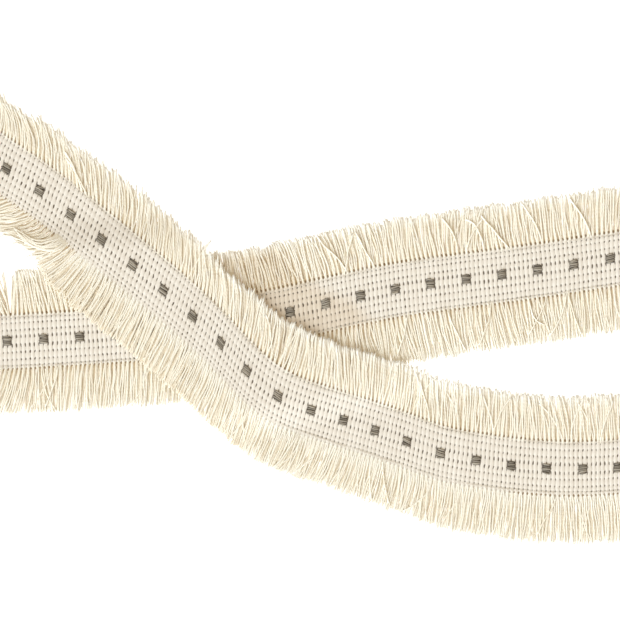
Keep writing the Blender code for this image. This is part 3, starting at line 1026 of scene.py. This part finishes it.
# How the yarns stray at random, in degrees unless a name says otherwise. A clump is given as dots along the
# tape and a size.
BUNDLE_STRAY_MM = 0.12
LOOKUP_STRAY_DOTS = 0.05
CLUMP = (0.16, 3.2)
WIDE_CLUMP = (0.45, 2.0)
OWN_STRAY = 4.4
LOW_STRAY = 1.6
WILD_SHARE = 0.10
WILD_STRAY = 13.0
BENT_SHARE = 0.15
BENT_STRAY = 12.0
TIP_STRAY = 2.0
ROOT_STRAY = 1.5
LOOSE_MIDDLE_STRAY = 4.0
LOOSE_TIP_STRAY = 7.0
MIDDLE_PART = 0.6
TIP_CLUMP_PART = 1.2
TIP_OWN_PART = 1.3
RAGGED_DOTS = 0.22
RAGGED_MM = 0.42
UNEVEN_MM = 0.36
CUT_BACK_SHARE = 0.04
CUT_BACK_MM = (0.5, 3.0)

# The yarns' waves, and how far from the root they and the bundle's fan begin
WAVE_LEAST_MM = 0.06
WAVE_MORE_MM = 0.26
WAVE_CURLY = 2.2
WAVE_LONG_MM = (11.0, 19.0)
WAVE_FULL_MM = 5.0
FAN_FROM_MM = 0.4

# Their thickness, which grows from the root and ends at the tip, and their height, from the root outwards
THICK_STRAY = 0.07
THICK_AT_ROOT = 0.68
THICK_FULL_MM = 2.6
TIP_FROM = 0.97
TIP_THICK = 0.62
LEVEL_STRAY_MM = 0.07
ROOT_LEVEL = 0.00070
ROOT_KEEPS = 0.43
LEVEL_FULL_MM = 4.0
SETTLE = (-0.05, 0.22)
SETTLE_FROM = 0.4
SETTLE_CURVE = 1.5
START_LOWER = 0.00014

# Their painted shade and light: the painted shade of lower yarns fades towards their tips. Roots get painted
# shade, or painted light where they are plain. Tips get painted light, less in front, and painted shade over
# the lower band
TONE = 0.62
TONE_STRAY = 0.24
LIT_FROM = 0.2
LIT_AT_TIP = 0.80
ROOT_SHADE = 0.5
ROOT_SHADE_MM = 4.0
PLAIN_ROOT_SHADE = -0.8
PLAIN_ROOT_MM = 9.0
PLAIN_ROOT_PAINTED_LIGHT = 0.45
TIP_PAINT_FROM = 0.8
PAINTED_LIGHT_TIPS = (0.4, 1.0)
PAINTED_LIGHT_IN_FRONT = 0.3
OVER_TIP_SHADE = 0.30
FRINGE_LIGHT = (0.90, 0.85, 0.735, 1.0)
FRINGE_DARK = (0.86, 0.785, 0.635, 1.0)
# Its deep colour is for the plies' and fibres' marks, and for painted shade
FRINGE_DEEP_AND_SHADE = (0.56, 0.41, 0.225, 1.0)
FRINGE_TWIST_MM = 1.9
FRINGE_SHEEN = 0.06


def within(dots, ends):
    return (dots > ends[0]) & (dots < ends[1])


def section_yarns(edge, section):
    """Where the yarns are rooted in ribs, their rows of the bundle as columns, and the loose ones' lies."""
    ribs = np.arange(math.ceil(section.first * RIBS_PER_DOT), math.floor(section.last * RIBS_PER_DOT))
    loose = [lie for lie in edge.loose if section.first <= lie.dot < section.last]
    if edge.hand < 0 and section.first <= SWEPT.dot < section.last:
        loose += [SWEPT._replace(dot=dot) for dot in np.linspace(SWEPT.dot, SWEPT_TO, SWEPT_COUNT)]
    rib = np.concatenate([np.repeat(ribs + 0.5, len(BUNDLE)), [lie.dot * RIBS_PER_DOT for lie in loose]])
    rows = np.array([*BUNDLE * len(ribs), *[LOOSE_YARN] * len(loose)])
    return rib, Yarn(*rows.T), loose


def yarn_lies(rng, edge, dots, follow, loose):
    """Each yarn's degrees away from the ribs at its root, middle and tip, and its length before it is cut."""
    count = len(dots)
    is_loose = np.arange(count) >= count - len(loose)
    looked_up = dots + rng.normal(size=count) * LOOKUP_STRAY_DOTS * (1.0 - follow)
    clump = drift(dots, CLUMP[0], edge.drift_seed) * CLUMP[1]
    clump = (clump + drift(dots, WIDE_CLUMP[0], edge.drift_seed + 1) * WIDE_CLUMP[1]) * follow
    own = rng.normal(size=count) * np.where(follow > 0.0, OWN_STRAY, LOW_STRAY)
    wild = (rng.random(count) < WILD_SHARE * follow) * rng.normal(size=count) * WILD_STRAY
    root, middle, tip, long = (column(edge.lies, name, looked_up) for name in Lie._fields[1:])
    for values, name in zip((root, middle, tip, long), Lie._fields[1:]):
        values[is_loose] = [getattr(lie, name) for lie in loose]
    bend = rng.normal(size=count) * np.where(rng.random(count) < BENT_SHARE, BENT_STRAY, TIP_STRAY) * follow
    root = root + rng.normal(size=count) * ROOT_STRAY
    loose_stray = rng.normal(size=count) * LOOSE_MIDDLE_STRAY
    middle = middle + np.where(is_loose, loose_stray, clump * MIDDLE_PART + own * MIDDLE_PART + wild)
    loose_stray = rng.normal(size=count) * LOOSE_TIP_STRAY
    tip_stray = clump * TIP_CLUMP_PART + own * TIP_OWN_PART + wild * TIP_OWN_PART + bend
    tip = tip + np.where(is_loose, loose_stray, tip_stray)
    return root, middle, tip, long


def yarn_lengths(rng, edge, dots, long, low_shorter):
    """The yarns' lengths in metres once they are cut a little ragged, with a few cut short."""
    count = len(dots)
    ragged = drift(dots, RAGGED_DOTS, edge.drift_seed + 2) * RAGGED_MM + rng.normal(size=count) * UNEVEN_MM
    cut_back = np.where(rng.random(count) < CUT_BACK_SHARE, rng.uniform(*CUT_BACK_MM, count), 0.0)
    return (long + ragged - cut_back - low_shorter) * MM


def yarn_sway(rng, dots, way, curly):
    """How far each yarn waves to the side, in millimetres."""
    count = len(dots)
    wave = (WAVE_LEAST_MM + WAVE_MORE_MM * rng.random(count)) * np.where(curly, WAVE_CURLY, 1.0)
    pace = rng.uniform(*WAVE_LONG_MM, count)
    phase = rng.uniform(0.0, FULL_TURN, count)
    sway = wave[:, None] * np.sin(FULL_TURN * way / pace[:, None] + phase[:, None])
    return (sway - sway[:, :1]) * ramp(way, 0.0, WAVE_FULL_MM)


def yarn_heights(rng, level_mm, way, share, is_loose):
    """Height of each yarn's points on a flat surface: low at the root, up to its level, then settling."""
    count = len(level_mm)
    level = (level_mm + rng.normal(size=count) * LEVEL_STRAY_MM)[:, None] * MM
    at_root = ROOT_LEVEL + level * ROOT_KEEPS
    risen = ramp(way, 0.0, LEVEL_FULL_MM)
    settle = level * rng.uniform(*SETTLE, count)[:, None] * ramp(share, SETTLE_FROM, 1.0) ** SETTLE_CURVE
    height = at_root + (level - at_root) * risen - settle + is_loose[:, None] * LOOSE_RISE * risen
    height[:, 0] = at_root[:, 0] - START_LOWER
    return height


def fringe_piece(edge, section, cotton):
    """The yarns of one edge between two places on the path."""
    rng = np.random.default_rng(section.seeds[edge.word])
    rib, yarn, loose = section_yarns(edge, section)
    count = len(rib)
    is_loose = np.arange(count) >= count - len(loose)
    fanned_mm = yarn.out_mm + rng.normal(size=count) * BUNDLE_STRAY_MM
    dots = (rib + yarn.root_mm / RIB_PITCH_MM) / RIBS_PER_DOT
    on_right = edge.hand < 0
    plain_root = on_right & (dots >= PLAIN_ROOTS[0]) & (dots < PLAIN_ROOTS[1])
    over_band = on_right & within(dots, OVER_BAND)
    curly = on_right & within(dots, CURLY)

    root, middle, tip, long = yarn_lies(rng, edge, dots, yarn.follow, loose)
    long = yarn_lengths(rng, edge, dots, long, LOW_SHORTER_MM * (1.0 - yarn.follow) * ~over_band)
    lean = np.where(
        YARN_RINGS < 0.5,
        root[:, None] + (middle - root)[:, None] * YARN_RINGS * 2.0,
        middle[:, None] + (tip - middle)[:, None] * (YARN_RINGS - 0.5) * 2.0,
    )
    outward = rib_turn(dots) + (math.pi if on_right else 0.0)
    turn = outward[:, None] + np.radians(lean)
    heading = np.stack([np.cos(turn), np.sin(turn)], axis=-1)
    steps = (heading[:, :-1] + heading[:, 1:]) / 2.0 * np.diff(YARN_RINGS)[:, None] * long[:, None, None]
    side = edge.side - edge.hand * ROOT_INSIDE
    start = across(dots, np.full(count, side))
    flat = start[:, None] + np.concatenate([np.zeros((count, 1, 2)), np.cumsum(steps, axis=1)], axis=1)

    way = YARN_RINGS * long[:, None] / MM
    fan_mm = yarn.fan_mm * np.where(plain_root, PLAIN_FAN, 1.0)
    fan = np.clip((way - FAN_FROM_MM) / fan_mm[:, None], 0.0, 1.0)
    sway = yarn_sway(rng, dots, way, curly) - edge.hand * (fanned_mm - yarn.root_mm)[:, None] * fan
    flat = flat + np.stack([-heading[..., 1], heading[..., 0]], axis=-1) * sway[..., None] * MM
    inside = across(dots, np.full(count, side - edge.hand * YARN_START))
    flat = np.concatenate([inside[:, None], flat], axis=1)
    way = np.concatenate([np.zeros((count, 1)), way], axis=1)
    share = np.concatenate([[0.0], YARN_RINGS])

    radius = (yarn.radius_mm * MM * (1.0 + rng.normal(size=count) * THICK_STRAY))[:, None]
    radius = radius * (THICK_AT_ROOT + (1.0 - THICK_AT_ROOT) * ramp(way, 0.0, THICK_FULL_MM))
    radius = radius * np.where(share > TIP_FROM, TIP_THICK, 1.0)
    height = np.maximum(yarn_heights(rng, yarn.height_mm, way, share, is_loose), radius)
    height = height + lift(flat, np.full(way.shape, section.first))
    paths = np.concatenate([flat, height[..., None]], axis=-1)

    tone = np.clip(TONE + rng.normal(size=count) * TONE_STRAY, 0.0, 1.0)
    # Painted shade: lower yarns, fading to the tips, roots (less where plain), tips over the lower band and
    # the crossing
    shade = yarn.shade[:, None] * (1.0 - LIT_AT_TIP * ramp(share, LIT_FROM, 1.0))
    near_root = ramp(way, np.where(plain_root, PLAIN_ROOT_MM, ROOT_SHADE_MM)[:, None], 0.0)
    shade = shade * (1.0 + np.where(plain_root, PLAIN_ROOT_SHADE, ROOT_SHADE)[:, None] * near_root)
    at_tip = ramp(share, TIP_PAINT_FROM, 1.0)
    shade = shade + OVER_TIP_SHADE * at_tip * over_band[:, None]
    if section.first < OVER_FROM:
        shade = shade + SHADE_YARN * (1.0 if on_right else SHADE_FRONT) * crossing_shade(flat)
    # Painted light on the tips, less on those in front and none over the lower band, and on plain roots
    painted_light = rng.uniform(*PAINTED_LIGHT_TIPS, count) * np.where(np.sin(outward) < 0.0, PAINTED_LIGHT_IN_FRONT, 1.0) * ~over_band
    painted_light = painted_light[:, None] * at_tip + PLAIN_ROOT_PAINTED_LIGHT * plain_root[:, None] * near_root
    values = {
        "tone": np.repeat(tone[:, None], len(share), axis=1),
        "shade": np.clip(shade, 0.0, 1.0),
        "painted_light": painted_light,
    }
    ob = tubes(f"fringe_{edge.word}_{section.letter}", paths, radius, YARN_SIDES, values)
    ob.data.materials.append(cotton)
    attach(ob, "root")
    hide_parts(*(f"fringe_{edge.word}_{number:02d}" for number in section.nodes))
    return ob


def build_fringes():
    cotton = yarn_material(
        "fringe_yarn_cotton", FRINGE_LIGHT, FRINGE_DARK, FRINGE_DEEP_AND_SHADE, FRINGE_TWIST_MM, FRINGE_SHEEN
    )
    return [fringe_piece(edge, section, cotton) for edge in EDGES for section in SECTIONS]


# Stage, lights and camera

FLOOR_HALF = 2.0
FLOOR_LEVEL = -0.00005
FLOOR_COLOUR = (0.92, 0.92, 0.92, 1.0)
FLOOR_GLOW = 0.5
WORLD_COLOUR = (1.0, 0.89, 0.74, 1.0)
WORLD_STRENGTH = 0.50
Lamp = namedtuple("Lamp", "name watts wide_deg colour tilt_deg turn_deg shadow")
LAMPS = (
    Lamp("key", 4.5, 80.0, (0.75, 0.865, 0.99), 62.0, -42.0, True),
    Lamp("fill", 0.60, 10.0, (1.0, 0.90, 0.72), 0.0, 0.0, False),
)
CAMERA_HEIGHT = 1.1
VIEW_LEVEL = 0.0015
VIEW_WIDE = 0.310
HALF_PIXEL = 0.00025
SENSOR_MM = 36.0
VIEW_FAR = 10.0


def build_stage():
    low, high = -FLOOR_HALF, FLOOR_HALF
    corners = [(x, y, FLOOR_LEVEL) for x, y in ((low, low), (high, low), (high, high), (low, high))]
    mesh = bpy.data.meshes.new("floor")
    mesh.from_pydata(corners, [], [(0, 1, 2, 3)])
    floor = bpy.data.objects.new("floor", mesh)
    bpy.context.scene.collection.objects.link(floor)
    mat = bpy.data.materials.new("floor_white")
    mat.use_nodes = True
    shader = mat.node_tree.nodes["Principled BSDF"]
    shader.inputs["Base Color"].default_value = FLOOR_COLOUR
    shader.inputs["Roughness"].default_value = 1.0
    shader.inputs["Specular IOR Level"].default_value = 0.0
    shader.inputs["Emission Color"].default_value = (1.0, 1.0, 1.0, 1.0)
    shader.inputs["Emission Strength"].default_value = FLOOR_GLOW
    mesh.materials.append(mat)


def build_lights():
    world = bpy.data.worlds.new("studio")
    world.use_nodes = True
    back = world.node_tree.nodes["Background"]
    back.inputs["Color"].default_value = WORLD_COLOUR
    back.inputs["Strength"].default_value = WORLD_STRENGTH
    bpy.context.scene.world = world
    for lamp in LAMPS:
        data = bpy.data.lights.new(lamp.name, "SUN")
        data.energy = lamp.watts
        data.angle = math.radians(lamp.wide_deg)
        data.color = lamp.colour
        data.use_shadow = lamp.shadow
        ob = bpy.data.objects.new(lamp.name, data)
        ob.rotation_euler = (math.radians(lamp.tilt_deg), 0.0, math.radians(lamp.turn_deg))
        bpy.context.scene.collection.objects.link(ob)


def build_camera():
    """Looks straight down from half a pixel off the middle, so that pixels match the photo's."""
    data = bpy.data.cameras.new("camera")
    data.sensor_width = SENSOR_MM
    data.lens = SENSOR_MM * (CAMERA_HEIGHT - VIEW_LEVEL) / VIEW_WIDE
    data.clip_end = VIEW_FAR
    camera = bpy.data.objects.new("camera", data)
    camera.location = (-HALF_PIXEL, HALF_PIXEL, CAMERA_HEIGHT)
    bpy.context.scene.collection.objects.link(camera)
    bpy.context.scene.camera = camera
    bpy.context.scene.view_settings.view_transform = "Standard"
    bpy.context.scene.view_settings.look = "None"


LENGTH_SAMPLES = 2000

fringes = build_fringes()
tape = build_tape()
threads = build_edge_threads()
woven_dots = build_dots()
along = CENTRE(np.linspace(FIRST_CUT, LAST_CUT, LENGTH_SAMPLES))
build_stage()
build_lights()
build_camera()
